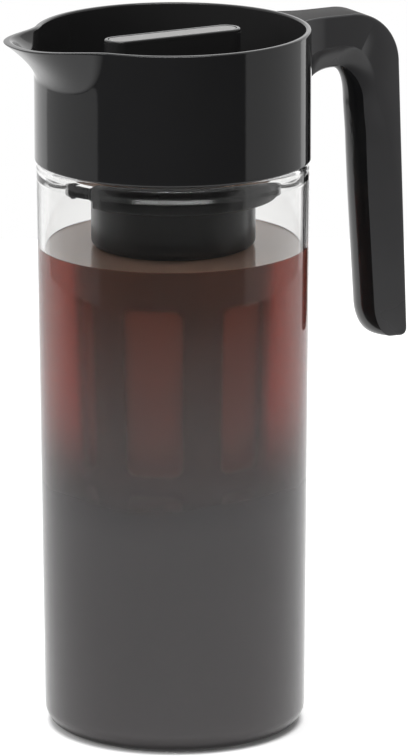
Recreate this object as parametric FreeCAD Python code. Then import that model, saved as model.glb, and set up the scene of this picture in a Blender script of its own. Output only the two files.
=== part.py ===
"""Cold brew coffee maker: a clear pitcher with a black spouted collar and a
hanging handle, a turn-to-pour lid, and a mesh filter that hangs from the lid.

Millimetres, +Z up.  The origin is the centre of the pitcher's flat base.  The
handle is on +X, the spout on -X, and both are symmetric about the XZ plane.
Every height above the pitcher's ledge is worked out from the piece below it.
"""
import FreeCAD
import Part
import math
import os

V = FreeCAD.Vector

# ---- pitcher ---------------------------------------------------------------
body_r = 56.6             # outside radius under the shoulder
body_draft = 2.1          # how much smaller the foot's radius is
foot_round = 8.5          # outside corner between wall and base
pitcher_wall = 2.6
pitcher_floor = 4.0
ledge_z = 240.6           # top of the shoulder, where the neck starts
shoulder_round = 2.6
shoulder_slope = 7.0      # height over which the inside narrows to the neck
ledge_width = 3.2         # shoulder's edge to the neck's outside
neck_wall = 2.5
neck_height = 16.6
bead_out = 0.9            # snap bead on the neck
bead_height = 2.4
bead_rise = 8.2           # ledge to the bead's underside

# ---- collar ----------------------------------------------------------------
collar_overhang = 0.7     # collar's outside beyond the pitcher's
collar_gap = 1.1          # ledge to the collar's lower edge
collar_height = 54.4
collar_wall = 2.4
snap_lip = 1.8            # height of the lip that catches under the bead
snap_play = 0.3           # play round the neck and under the bead
gasket_height = 1.3
gasket_width = 2.0
deck = 3.0                # floor between the collar's wall and the bore
bore_wall = 2.2
bore_inset = 4.7          # neck's inside to the bore's outside
bore_drop = 12.5          # bore's length below the deck
bore_rise = 7.5           # bore's length above the deck
port_width = 30.0         # opening in the bore towards the spout
port_lintel = 2.1         # bore left above that opening
rim_round = 0.6

# ---- spout -----------------------------------------------------------------
spout_reach = 17.4        # tip beyond the collar's outside
spout_angle = 23.5        # degrees from the spout's axis to its flank
spout_fullness = 3.0      # how square the spout is in plan
spout_depth = 20.0        # height over which it grows out of the wall
spout_curve = 1.5         # how fast it grows
spout_drop = 0.9          # tip below the rest of the rim
spout_bite = 0.6          # how far its edges run into the wall

# ---- handle ----------------------------------------------------------------
handle_reach = 45.0       # collar's outside to the handle's back at the bend
handle_length = 140.2     # rim to the lower end
handle_width = 19.2
bar_depth = 23.2          # top bar, from the rim down to its keel
bend_r = 22.5             # outside of the bend
arch_r = 7.0              # inside of the bend
arm_top = 16.2            # arm's thickness under the bend
arm_end = 14.3            # arm's thickness at the lower end
arm_lean = 2.1            # degrees that the arm leans outwards
root_flare = 3.2          # extra half width where the bar meets the collar
root_drop = 16.0          # extra depth there
root_length = 17.0        # length over which the root grows
keel_half = 3.2           # half width of the bar's rounded keel
crown = 1.5               # bulge of the inner face
edge_round = 1.0
inlay_depth = 1.2
cover_depth = 2.4
end_round_in = 5.0        # lower end's corner towards the pitcher, along the end
end_round_up = 12.5       # the same corner's height
end_round_out = 3.0

# ---- lid -------------------------------------------------------------------
skirt_play = 0.4          # lid's skirt in the collar's bore
skirt_wall = 2.7
skirt_z = 226.5           # lower edge of the skirt
skirt_slot = 20.0         # width of the pouring slot
web = 2.2                 # plate that closes the skirt
lid_edge_gap = 4.9        # collar's inside to the lid's edge
lid_plate = 2.4
seal_height = 1.6
seal_nest = 1.0           # depth of the groove that holds the seal
seal_play = 0.3
grip_length = 62.0
grip_width = 12.8
grip_wall = 2.0
grip_below_rim = 1.9
grip_cap_height = 1.7
grip_cap_plug = 2.2

# ---- filter ----------------------------------------------------------------
cup_r = 34.2
cup_wall = 2.0
cup_z = 205.4             # lower edge of the cup
cup_height = 46.6
cup_round = 2.6
cup_ring = 2.9            # width of the cup's floor, which carries the frame
cup_floor = 3.4
cup_ring_play = 0.2       # frame in the cup's floor ring
spigot_play = 0.4
spigot_wall = 2.4
spigot_drop = 12.0        # spigot below the cup's rim
filter_seal_height = 2.0
filter_seal_gap = 0.3
seal_shoulder = 2.2
lug_count = 3
lug_height = 2.8
lug_out = 0.9
lug_angle = 20.0
lug_drop = 3.2            # cup's rim to the lug's top
lug_play = 0.4
frame_end_r = 25.9
frame_wall = 1.8
frame_z = 23.0
frame_flange = 2.5
rib_count = 5
rib_phase = -97.0         # degrees from +X to one rib
rib_top_width = 16.0
rib_end_width = 13.6
top_band = 24.0           # frame's band under its flange
middle_band = 8.0
end_band = 12.0
window_round = 4.0
mesh_thick = 0.5
mesh_play = 0.3           # mesh inside the frame
mesh_overlap = 3.0        # mesh past the windows' ends
cap_play = 0.4
cap_wall = 2.0
cap_floor = 2.2
cap_height = 14.0
cap_flutes = 12
cap_flute_r = 3.0
cap_flute_depth = 0.8
cap_seal_height = 2.2
cap_seal_width = 2.6
cap_seal_gap = 0.2

# ---- heights and radii that follow -----------------------------------------
foot_r = body_r - body_draft
neck_r = body_r - ledge_width
neck_in = neck_r - neck_wall
collar_r = body_r + collar_overhang
collar_z = ledge_z + collar_gap
rim_z = collar_z + collar_height
neck_z = ledge_z + neck_height
bead_z = ledge_z + bead_rise
deck_z = neck_z + gasket_height
deck_top = deck_z + deck
bore_out = neck_in - bore_inset
bore_r = bore_out - bore_wall
skirt_r = bore_r - skirt_play
skirt_in = skirt_r - skirt_wall
lid_flange_r = collar_r - collar_wall - lid_edge_gap
bore_top = deck_top + bore_rise
seal_top = bore_top + seal_height
cover_top = seal_top + lid_plate
grip_top = rim_z - grip_below_rim
spigot_r = cup_r - cup_wall - spigot_play
cup_top = cup_z + cup_height
frame_top_r = cup_r - cup_ring - cup_ring_play
frame_top = cup_z + cup_floor + frame_flange
cap_seal_top = frame_z - cap_seal_gap
cap_floor_top = cap_seal_top - cap_seal_height
cap_z = cap_floor_top - cap_floor
past = 2.0                # how far a cutter runs past what it cuts


# ---- helpers ---------------------------------------------------------------
def rounded_edges(corners):
    """Closed outline: lines between (a, b, radius) corners, with tangent arcs."""
    points = [V(a, 0, b) for a, b, _ in corners]
    ends = []
    for i, (_, _, radius) in enumerate(corners):
        here = points[i]
        back = (points[i - 1] - here).normalize()
        ahead = (points[(i + 1) % len(points)] - here).normalize()
        if radius <= 0:
            ends.append((here, None, here))
            continue
        half = back.getAngle(ahead) / 2
        trim = radius / math.tan(half)
        middle = (back + ahead).normalize()
        centre = here + middle * (radius / math.sin(half))
        ends.append((here + back * trim, centre - middle * radius, here + ahead * trim))
    edges = []
    for i, (start, through, stop) in enumerate(ends):
        if through is not None:
            edges.append(Part.Arc(start, through, stop).toShape())
        following = ends[(i + 1) % len(ends)][0]
        if stop.distanceToPoint(following) > 1e-6:
            edges.append(Part.LineSegment(stop, following).toShape())
    return edges


def outline(corners):
    """The closed outline as a face in the XZ plane."""
    return Part.Face(Part.Wire(rounded_edges(corners)))


def turned(corners):
    """Solid of revolution about Z from an outline of (radius, height, round)."""
    return outline(corners).revolve(V(0, 0, 0), V(0, 0, 1), 360)


def ring(inner, outer, low, high):
    """Plain ring about Z."""
    return turned([(inner, low, 0), (outer, low, 0), (outer, high, 0), (inner, high, 0)])


def rod(radius, low, high):
    """Cylinder about Z."""
    return Part.makeCylinder(radius, high - low, V(0, 0, low))


def block(x, y, z):
    """Box from three (low, high) pairs."""
    return Part.makeBox(x[1] - x[0], y[1] - y[0], z[1] - z[0], V(x[0], y[0], z[0]))


def spun(shape, degrees):
    """Copy turned about Z."""
    copy = shape.copy()
    copy.rotate(V(0, 0, 0), V(0, 0, 1), degrees)
    return copy


def sector(inner, outer, low, high, middle, width):
    """Ring section of the given angular width, centred on the angle middle."""
    face = outline([(inner, low, 0), (outer, low, 0), (outer, high, 0), (inner, high, 0)])
    return spun(face.revolve(V(0, 0, 0), V(0, 0, 1), width), middle - width / 2)


def stadium(length, width, low, high):
    """Upright bar with half-round ends, long in X."""
    half = width / 2
    straight = (length - width) / 2
    bar = block((-straight, straight), (-half, half), (low, high))
    for side in (-1, 1):
        bar = bar.fuse(Part.makeCylinder(half, high - low, V(side * straight, 0, low)))
    return bar.removeSplitter()


def between(a, b, t):
    """Value a share t of the way from a to b."""
    return a + (b - a) * t


def smooth(t):
    """Ease from 0 to 1 with flat ends."""
    t = min(max(t, 0.0), 1.0)
    return t * t * (3 - 2 * t)


# ---- pitcher ---------------------------------------------------------------
def make_pitcher():
    """Clear blown pitcher up to its ledge: drafted wall, rounded foot, shoulder."""
    inside_low = foot_r - pitcher_wall
    inside_high = body_r - pitcher_wall
    narrow_z = ledge_z - shoulder_slope
    return turned([
        (0, 0, 0),
        (foot_r, 0, foot_round),
        (body_r, ledge_z, shoulder_round),
        (neck_in, ledge_z, 0),
        (inside_high, narrow_z, shoulder_round),
        (inside_low, pitcher_floor, foot_round - pitcher_wall),
        (0, pitcher_floor, 0),
    ])


def make_pitcher_neck():
    """The same blowing above the ledge: the neck with its snap bead."""
    bead_r = neck_r + bead_out
    bead_top = bead_z + bead_height
    return turned([
        (neck_in, ledge_z, 0),
        (neck_r, ledge_z, 0),
        (neck_r, bead_z, 0),
        (bead_r, bead_z, bead_out / 2),
        (bead_r, bead_top, bead_out / 2),
        (neck_r, bead_top, 0),
        (neck_r, neck_z, 0),
        (neck_in, neck_z, 0),
    ])


# ---- collar ----------------------------------------------------------------
def spout_growth(depth):
    """Spout's reach at a depth under the rim; negative once it has ended."""
    share = 1 - depth / spout_depth
    if share <= 0:
        return spout_bite * share * spout_depth / (past + spout_bite)
    return spout_reach * share ** spout_curve


def spout_wire(radius, reach, height):
    """Plan of the spout: a bell curve on a circle, closed by a chord inside it."""
    span_angle = 70
    point_count = 57
    base = radius - spout_bite
    points = []
    for i in range(point_count):
        degrees = span_angle * (2 * i / (point_count - 1) - 1)
        bell = math.exp(-abs(degrees / spout_angle) ** spout_fullness)
        r = base + (reach + spout_bite) * bell
        angle = math.radians(180 + degrees)
        points.append(V(r * math.cos(angle), r * math.sin(angle), height))
    curve = Part.BSplineCurve()
    curve.interpolate(points)
    chord = Part.LineSegment(points[-1], points[0])
    return Part.Wire([curve.toShape(), chord.toShape()])


def spout_body(wall):
    """Solid of the spout, inset by a wall, from below its root to past the rim."""
    shares = [0, 0.125, 0.25, 0.4, 0.55, 0.7, 0.85, 1]
    levels = [-past] + [spout_depth * share for share in shares] + [spout_depth + past]
    radius = collar_r - wall
    wires = []
    for depth in levels:
        grown = spout_growth(max(depth, 0) + wall / 2)
        wires.append(spout_wire(radius, grown, rim_z - depth))
    return Part.makeLoft(wires, True, False)


def above_rim():
    """Everything over the rim, which falls gently to the spout's tip."""
    far = collar_r + spout_reach + 5 * past
    level = rim_z + 10 * past
    start = -collar_r * 0.75
    middle = (start - far) / 2
    drop = spout_drop
    edges = [
        Part.LineSegment(V(far, 0, level), V(far, 0, rim_z)).toShape(),
        Part.LineSegment(V(far, 0, rim_z), V(start, 0, rim_z)).toShape(),
        Part.Arc(V(start, 0, rim_z), V(middle, 0, rim_z - drop / 4), V(-far, 0, rim_z - drop)).toShape(),
        Part.LineSegment(V(-far, 0, rim_z - drop), V(-far, 0, level)).toShape(),
        Part.LineSegment(V(-far, 0, level), V(far, 0, level)).toShape(),
    ]
    face = Part.Face(Part.Wire(edges))
    face.translate(V(0, -far, 0))
    return face.extrude(V(0, 2 * far, 0))


def make_collar():
    """Black collar: skirt over the neck, deck, bore for the lid, and spout."""
    inside = collar_r - collar_wall
    lip_top = bead_z - snap_play
    lip_low = lip_top - snap_lip
    lip_r = neck_r + snap_play
    snap_r = neck_r + bead_out + snap_play
    bore_low = deck_z - bore_drop
    top = rim_z + past
    core = turned([
        (snap_r, collar_z, 0),
        (collar_r, collar_z, rim_round),
        (collar_r, top, 0),
        (inside, top, 0),
        (inside, deck_top, 0),
        (bore_out, deck_top, 0),
        (bore_out, bore_top, 0),
        (bore_r, bore_top, 0),
        (bore_r, bore_low, 0),
        (bore_out, bore_low, 0),
        (bore_out, deck_z, 0),
        (snap_r, deck_z, 0),
        (snap_r, lip_top, 0),
        (lip_r, lip_top, 0),
        (lip_r, lip_low, 0),
        (snap_r, lip_low, 0),
    ])
    cavity = rod(inside, deck_top, top + past).fuse(spout_body(collar_wall))
    spout = spout_body(0).cut(cavity)
    port = block((-bore_out - bore_wall, -bore_r / 2), (-port_width / 2, port_width / 2),
                 (deck_top, bore_top - port_lintel))
    return core.fuse(spout).cut([spout_body(collar_wall), port, above_rim()])


def make_collar_gasket():
    """Flat ring between the neck's top and the deck."""
    middle = neck_r - neck_wall / 2
    return ring(middle - gasket_width / 2, middle + gasket_width / 2, neck_z, deck_z)


# ---- handle ----------------------------------------------------------------
half_width = handle_width / 2
back_x = collar_r + handle_reach           # back of the bend
bend_x = back_x - bend_r
bend_z = rim_z - bend_r
arch_x = back_x - arm_top - arch_r
arch_z = rim_z - bar_depth - arch_r
end_z = rim_z - handle_length
lean = math.tan(math.radians(arm_lean))
arm_length = bend_z - end_z


def handle_runs():
    """The root, the bend and the arm, each a list of stations: a back point, an
    inner point and the form of the section between them."""
    root_x = collar_r - 3 * past
    stations = []
    root_count = 7
    for i in range(root_count):
        x = between(root_x, arch_x, i / root_count)
        out = min(max((x - collar_r) / root_length, -0.2), 1.0)
        drop = root_drop * (1 - math.sqrt(max(1 - (1 - max(out, 0)) ** 2, 0)))
        flare = root_flare * max(1 - 1.6 * max(out, 0), 0) ** 2
        stations.append({
            "back": V(x, 0, rim_z),
            "inner": V(x, 0, rim_z - bar_depth - drop),
            "half": half_width + flare,
            "flat": between(0.54, 0.80, drop / root_drop) * bar_depth,
            "inner_half": keel_half + flare,
        })
    bend_count = 6
    for i in range(bend_count):
        share = i / (bend_count - 1)
        angle = math.radians(90 * share)
        stations.append({
            "back": V(bend_x + bend_r * math.sin(angle), 0, bend_z + bend_r * math.cos(angle)),
            "inner": V(arch_x + arch_r * math.sin(angle), 0, arch_z + arch_r * math.cos(angle)),
            "half": half_width,
            "flat": between(0.54, 0.36, smooth(share)) * between(bar_depth, arm_top, share),
            "inner_half": between(keel_half, half_width - 2.2, smooth(share)),
        })
    arm_count = 6
    for share in [i / arm_count for i in range(1, arm_count + 1)]:
        z_back = bend_z - (arm_length + 2 * past) * share
        z_inner = between(arch_z, z_back, smooth(3 * share))
        thick = between(arm_top, arm_end, share)
        stations.append({
            "back": V(back_x + (bend_z - z_back) * lean, 0, z_back),
            "inner": V(back_x + (bend_z - z_inner) * lean - thick, 0, z_inner),
            "half": half_width,
            "flat": between(0.36, 0.14, smooth(2 * share)) * thick,
            "inner_half": half_width - between(2.2, 0.5, smooth(1.6 * share)),
        })
    last = root_count + bend_count - 1
    return [(stations[:root_count + 1], False), (stations[root_count:last + 1], False), (stations[last:], True)]


def in_section(station, depth, side):
    """Point of a section: depth from the back towards the inner face, and side."""
    direction = (station["inner"] - station["back"]).normalize()
    return station["back"] + direction * depth + V(0, side, 0)


def handle_marks(station):
    """Sizes shared by the three pieces' sections."""
    depth = (station["inner"] - station["back"]).Length
    return depth, station["half"], station["flat"], station["inner_half"], depth - crown


def cove(station, sign):
    """Hollow flank from the side's flat to the inner face's edge."""
    _, half, flat, inner_half, edge = handle_marks(station)
    run = edge - flat
    fall = half - inner_half
    poles = [(flat, half), (flat + 0.15 * run, half - 0.45 * fall),
             (flat + 0.55 * run, half - 0.85 * fall), (edge, inner_half)]
    curve = Part.BezierCurve()
    curve.setPoles([in_section(station, d, sign * s) for d, s in poles])
    return curve


def line(station, first, second):
    """Straight edge between two (depth, side) points of a section."""
    return Part.LineSegment(in_section(station, *first), in_section(station, *second)).toShape()


def back_corner(station, sign):
    """Small round between the back and the side."""
    half = station["half"]
    lost = edge_round * (1 - math.sqrt(0.5))
    points = [(0, half - edge_round), (lost, half - lost), (edge_round, half)]
    return Part.Arc(*[in_section(station, d, sign * s) for d, s in points]).toShape()


def shell_wire(station):
    """Section of the shell, with a channel for the inlay and one for the cover."""
    _, half, flat, inner_half, edge = handle_marks(station)
    lip = half - edge_round
    floor = edge - cover_depth
    left_cove = cove(station, 1).toShape()
    right_cove = cove(station, -1).toShape()
    edges = [
        line(station, (inlay_depth, -lip), (inlay_depth, lip)),
        line(station, (inlay_depth, lip), (0, lip)),
        back_corner(station, 1),
        line(station, (edge_round, half), (flat, half)),
        left_cove,
        line(station, (edge, inner_half), (floor, inner_half - 0.8)),
        line(station, (floor, inner_half - 0.8), (floor, 0.8 - inner_half)),
        line(station, (floor, 0.8 - inner_half), (edge, -inner_half)),
        right_cove,
        line(station, (flat, -half), (edge_round, -half)),
        back_corner(station, -1),
        line(station, (0, -lip), (inlay_depth, -lip)),
    ]
    return Part.Wire(edges)


def cover_wire(station):
    """Section of the inner cover, crowned where the fingers rest."""
    depth, _, _, inner_half, edge = handle_marks(station)
    floor = edge - cover_depth
    face = Part.Arc(in_section(station, edge, inner_half), in_section(station, depth, 0),
                    in_section(station, edge, -inner_half))
    return Part.Wire([
        face.toShape(),
        line(station, (edge, -inner_half), (floor, 0.8 - inner_half)),
        line(station, (floor, 0.8 - inner_half), (floor, inner_half - 0.8)),
        line(station, (floor, inner_half - 0.8), (edge, inner_half)),
    ])


def inlay_wire(station):
    """Section of the inlay in the handle's back."""
    lip = station["half"] - edge_round
    return Part.Wire([
        line(station, (0, -lip), (0, lip)),
        line(station, (0, lip), (inlay_depth, lip)),
        line(station, (inlay_depth, lip), (inlay_depth, -lip)),
        line(station, (inlay_depth, -lip), (0, -lip)),
    ])


def corner_cutter(corner, first, second):
    """Prism that rounds a corner by an ellipse, from one offset to the other."""
    curve = Part.BezierCurve()
    curve.setPoles([corner + first, corner, corner + second])
    curve.setWeight(2, math.sqrt(0.5))
    outward = (first + second).normalize() * -past
    edges = [
        curve.toShape(),
        Part.LineSegment(corner + second, corner + second + outward).toShape(),
        Part.LineSegment(corner + second + outward, corner + outward * 3).toShape(),
        Part.LineSegment(corner + outward * 3, corner + first + outward).toShape(),
        Part.LineSegment(corner + first + outward, corner + first).toShape(),
    ]
    face = Part.Face(Part.Wire(edges))
    face.translate(V(0, -handle_width, 0))
    return face.extrude(V(0, 2 * handle_width, 0))


def handle_trim():
    """What is cut off the lofts: the collar's place and the lower end's corners."""
    up = V(-lean, 0, 1)
    inner_end = V(back_x + arm_length * lean - arm_end, 0, end_z)
    outer_end = V(back_x + arm_length * lean, 0, end_z)
    inner_up = (V(back_x - arm_top, 0, arch_z) - inner_end).normalize()
    below = block((collar_r, back_x + handle_reach), (-handle_width, handle_width),
                  (end_z - handle_length, end_z))
    place = rod(collar_r, collar_z - handle_length, rim_z + past)
    return [
        place,
        below,
        corner_cutter(inner_end, inner_up * end_round_up, V(end_round_in, 0, 0)),
        corner_cutter(outer_end, up * end_round_out, V(-end_round_out, 0, 0)),
    ]


def handle_piece(section):
    """Lofts of one piece's sections, joined and trimmed at both ends."""
    runs = [Part.makeLoft([section(s) for s in run], True, ruled) for run, ruled in handle_runs()]
    return runs[0].fuse(runs[1:]).cut(handle_trim())


# ---- lid -------------------------------------------------------------------
def make_lid_seal():
    """Silicone ring in the lid's groove, which rests on the bore's top."""
    inside = skirt_r - seal_nest + seal_play
    return ring(inside, bore_out, bore_top, seal_top)


def make_lid_core():
    """Skirt with the pouring slot, closed by a web, round the filter's spigot."""
    groove_low = cup_top - lug_drop - lug_height - lug_play
    groove_high = cup_top - lug_drop + lug_play
    groove_r = spigot_r - lug_out - lug_play
    web_z = bore_top - web + seal_height / 2
    shoulder_z = cup_top + filter_seal_gap + filter_seal_height
    spigot_in = spigot_r - spigot_wall
    spigot_z = cup_top - spigot_drop
    skirt = turned([
        (skirt_in, skirt_z, 0.5),
        (skirt_r, skirt_z, 0.8),
        (skirt_r, bore_top, 0),
        (skirt_r - seal_nest, bore_top, 0),
        (skirt_r - seal_nest, seal_top, 0),
        (0, seal_top, 0),
        (0, web_z, 0),
        (spigot_in, web_z, 0),
        (spigot_in, spigot_z, 0),
        (groove_r, spigot_z, 0),
        (spigot_r, spigot_z + spigot_r - groove_r, 0),
        (spigot_r, groove_low, 0),
        (groove_r, groove_low, 0),
        (groove_r, groove_high, 0),
        (spigot_r, groove_high, 0),
        (spigot_r, shoulder_z, 0),
        (cup_r, shoulder_z, 0),
        (cup_r, shoulder_z + seal_shoulder, 0),
        (spigot_r, shoulder_z + seal_shoulder, 0),
        (spigot_r, web_z, 0),
        (skirt_in, web_z, 0),
    ])
    slot = block((-skirt_r - past, -skirt_in + 2 * past), (-skirt_slot / 2, skirt_slot / 2),
                 (skirt_z - past, bore_top - port_lintel))
    skirt = skirt.cut(slot)
    for i in range(lug_count):
        entry = sector(groove_r, spigot_r + past, spigot_z - past, groove_high,
                       360 / lug_count * (i + 0.5), lug_angle + 4)
        skirt = skirt.cut(entry)
    return skirt


def make_lid_cover():
    """Round plate with a hollow upright grip, open on top for its cap."""
    edge = lid_plate / 2 - 0.1
    plate = turned([
        (0, seal_top, 0),
        (lid_flange_r, seal_top, edge),
        (lid_flange_r, cover_top, edge),
        (0, cover_top, 0),
    ])
    wall_top = grip_top - grip_cap_height
    grip = stadium(grip_length, grip_width, cover_top - lid_plate / 2, wall_top)
    hollow = stadium(grip_length - 2 * grip_wall, grip_width - 2 * grip_wall,
                     seal_top - past, wall_top + past)
    return plate.fuse(grip).cut(hollow).removeSplitter()


def make_grip_cap():
    """Plain cap on the grip, with a plug inside its walls."""
    wall_top = grip_top - grip_cap_height
    top = stadium(grip_length, grip_width, wall_top, grip_top)
    edges = [e for e in top.Edges if min(v.Z for v in e.Vertexes) > grip_top - 0.01]
    top = top.makeFillet(0.7, edges)
    plug = stadium(grip_length - 2 * grip_wall, grip_width - 2 * grip_wall,
                   wall_top - grip_cap_plug, wall_top)
    return top.fuse(plug).removeSplitter()


# ---- filter ----------------------------------------------------------------
def frame_r(height):
    """Outside radius of the tapered frame at a height."""
    seat = cup_z + cup_floor
    return between(frame_end_r, frame_top_r, (height - frame_z) / (seat - frame_z))


def make_filter_seal():
    """Silicone ring under the spigot's shoulder, over the cup's rim."""
    low = cup_top + filter_seal_gap
    return ring(spigot_r, cup_r, low, low + filter_seal_height)


def make_filter_cup():
    """Twist-on cup that carries the frame, with lugs for the spigot's groove."""
    inside = cup_r - cup_wall
    floor_in = cup_r - cup_ring
    cup = turned([
        (floor_in, cup_z, 0),
        (cup_r, cup_z, min(cup_round, 0.9 * cup_ring)),
        (cup_r, cup_top, 0),
        (inside, cup_top, 0),
        (inside, cup_z + cup_floor, 0),
        (floor_in, cup_z + cup_floor, 0),
    ])
    lug_top = cup_top - lug_drop
    lugs = []
    for i in range(lug_count):
        lugs.append(sector(spigot_r - lug_out, inside + cup_wall / 2, lug_top - lug_height, lug_top,
                           360 / lug_count * i, lug_angle))
    return cup.fuse(lugs)


def window_rows():
    """Lower and upper height of each row of windows."""
    top = cup_z - top_band + cup_floor
    bottom = frame_z + end_band
    middle = (top + bottom) / 2
    return [(bottom, middle - middle_band / 2), (middle + middle_band / 2, top)]


def window_cutter(low, high):
    """Prism through the frame's wall towards +X, as wide as two ribs leave."""
    def half_gap(height):
        radius = frame_r(height)
        rib = between(rib_end_width, rib_top_width, (height - frame_z) / (frame_top - frame_z))
        pitch = math.pi / rib_count
        return radius * math.sin(pitch - rib / 2 / radius)
    corners = [(-half_gap(low), low), (half_gap(low), low), (half_gap(high), high), (-half_gap(high), high)]
    face = outline([(a, b, window_round) for a, b in corners])
    face.rotate(V(0, 0, 0), V(0, 0, 1), 90)
    return face.extrude(V(frame_top_r + past, 0, 0))


def make_filter_frame():
    """Tapered cage: flange in the cup, ribs, bands and rows of windows."""
    seat = cup_z + cup_floor
    flange_r = cup_r - cup_wall - cup_ring_play
    frame = turned([
        (frame_end_r - frame_wall, frame_z, 0),
        (frame_end_r, frame_z, 0),
        (frame_top_r, seat, 0),
        (flange_r, seat, 0),
        (flange_r, frame_top, 0),
        (frame_top_r - frame_wall, frame_top, 0),
        (frame_top_r - frame_wall, seat, 0),
    ])
    cutters = []
    for low, high in window_rows():
        for i in range(rib_count):
            cutters.append(spun(window_cutter(low, high), rib_phase + 360 / rib_count * (i + 0.5)))
    return frame.cut(cutters)


def make_filter_mesh():
    """Sleeve of fine mesh against the inside of the frame."""
    rows = window_rows()
    low = rows[0][0] - mesh_overlap
    high = rows[-1][1] + mesh_overlap
    outer_low = frame_r(low) - frame_wall - mesh_play
    outer_high = frame_r(high) - frame_wall - mesh_play
    return turned([
        (outer_low - mesh_thick, low, 0),
        (outer_low, low, 0),
        (outer_high, high, 0),
        (outer_high - mesh_thick, high, 0),
    ])


def make_filter_base_cap():
    """Fluted cap that closes the filter's lower end."""
    inside = frame_r(cap_z + cap_height) + cap_play
    outside = inside + cap_wall
    cap = turned([
        (0, cap_z, 0),
        (outside, cap_z, 1.5),
        (outside, cap_z + cap_height, 0.5),
        (inside, cap_z + cap_height, 0),
        (inside, cap_floor_top, 0),
        (0, cap_floor_top, 0),
    ])
    flute_x = outside + cap_flute_r - cap_flute_depth
    flute = Part.makeCylinder(cap_flute_r, cap_height, V(flute_x, 0, cap_z + 3 * cap_floor / 2))
    return cap.cut([spun(flute, 360 / cap_flutes * i) for i in range(cap_flutes)])


def make_base_cap_seal():
    """Silicone ring on the cap's floor, under the frame's lower end."""
    outside = frame_end_r
    return ring(outside - cap_seal_width, outside, cap_floor_top, cap_seal_top)


pieces = {
    "pitcher": make_pitcher(),
    "pitcher_neck": make_pitcher_neck(),
    "collar": make_collar(),
    "collar_gasket": make_collar_gasket(),
    "handle_shell": handle_piece(shell_wire),
    "handle_inner_cover": handle_piece(cover_wire),
    "handle_top_inlay": handle_piece(inlay_wire),
    "lid_seal": make_lid_seal(),
    "lid_core": make_lid_core(),
    "lid_cover": make_lid_cover(),
    "grip_cap": make_grip_cap(),
    "filter_seal": make_filter_seal(),
    "filter_cup": make_filter_cup(),
    "filter_frame": make_filter_frame(),
    "filter_mesh": make_filter_mesh(),
    "filter_base_cap": make_filter_base_cap(),
    "base_cap_seal": make_base_cap_seal(),
}

os.makedirs("parts", exist_ok=True)
for name, shape in pieces.items():
    if len(shape.Solids) == 1:
        shape = shape.Solids[0]
    box = shape.BoundBox
    print(f"{name:20s} solids {len(shape.Solids)} valid {shape.isValid()} volume {shape.Volume / 1000:8.2f} cm3"
          f"  X {box.XMin:7.1f} {box.XMax:7.1f}  Y {box.YMin:6.1f} {box.YMax:6.1f}  Z {box.ZMin:6.1f} {box.ZMax:6.1f}")
    shape.exportStep(f"parts/{name}.step")
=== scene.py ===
"""Cold brew coffee maker: a clear pitcher of dark coffee under a black spouted
collar with a hanging handle, a turning lid and the mesh filter that hangs from it.

The origin is the centre of the pitcher's base, the handle is on +X and the spout
on -X.  Lengths are in metres; MM turns millimetres into metres.
"""
import math

import bmesh
import bpy
import numpy as np
from bpy.props import FloatProperty, FloatVectorProperty, IntProperty, PointerProperty
from mathutils import Matrix, Vector


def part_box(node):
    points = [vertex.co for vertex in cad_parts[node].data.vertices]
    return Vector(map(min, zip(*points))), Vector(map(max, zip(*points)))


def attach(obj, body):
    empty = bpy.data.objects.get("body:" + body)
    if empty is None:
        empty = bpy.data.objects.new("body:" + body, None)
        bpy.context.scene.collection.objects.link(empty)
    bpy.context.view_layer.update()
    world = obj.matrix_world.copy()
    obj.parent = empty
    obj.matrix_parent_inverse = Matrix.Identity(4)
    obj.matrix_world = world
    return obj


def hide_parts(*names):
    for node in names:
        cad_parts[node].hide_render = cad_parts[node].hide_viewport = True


bl_info = {
    "name": "Cold brew coffee maker",
    "version": (1, 0, 0),
    "blender": (4, 5, 0),
    "location": "3D View > Sidebar > Coffee maker",
    "description": "Builds a cold brew pitcher with its collar, handle, lid, filter and coffee",
    "category": "Object",
}

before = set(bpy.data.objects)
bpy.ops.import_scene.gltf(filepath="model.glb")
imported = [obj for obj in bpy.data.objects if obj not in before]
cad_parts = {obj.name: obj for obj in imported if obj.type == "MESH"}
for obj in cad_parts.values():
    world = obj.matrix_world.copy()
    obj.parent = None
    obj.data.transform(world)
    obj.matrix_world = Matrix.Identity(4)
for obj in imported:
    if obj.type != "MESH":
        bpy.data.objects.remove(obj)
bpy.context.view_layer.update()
MM = 0.001
RIM_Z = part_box("handle_shell")[1].z
COLLAR_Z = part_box("collar")[0].z
NECK_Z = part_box("pitcher_neck")[1].z
DECK_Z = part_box("collar_gasket")[1].z
BORE_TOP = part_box("lid_seal")[0].z
SEAL_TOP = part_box("lid_seal")[1].z
GRIP_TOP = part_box("grip_cap")[1].z
COLLAR_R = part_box("collar")[1].x
COVER_SLANT = 0.8 * MM  # by which the handle's inner cover narrows towards its floor
CAP_SUNK = 0.12 * MM  # depth of the plate in the grip's cap


# ---- properties ------------------------------------------------------------
def length(name, millimetres, about):
    """Length property, given in millimetres and kept in metres."""
    return FloatProperty(
        name=name, description=about, default=millimetres * MM, precision=5, unit="LENGTH")


def angle(name, degrees, about):
    """Angle property, given in degrees and kept in radians."""
    return FloatProperty(
        name=name, description=about, default=math.radians(degrees), precision=3, unit="ROTATION")


def factor(name, value, about):
    """Property between 0 and 1."""
    return FloatProperty(
        name=name, description=about, default=value, min=0.0, max=1.0, subtype="FACTOR")


def amount(name, value, about):
    """Plain number property."""
    return FloatProperty(name=name, description=about, default=value)


def count(name, value, about):
    """Whole number property."""
    return IntProperty(name=name, description=about, default=value, min=3)


def colour(name, value, about):
    """Linear colour property."""
    return FloatVectorProperty(
        name=name, description=about, default=value, min=0.0, max=1.0, size=3, subtype="COLOR")


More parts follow.
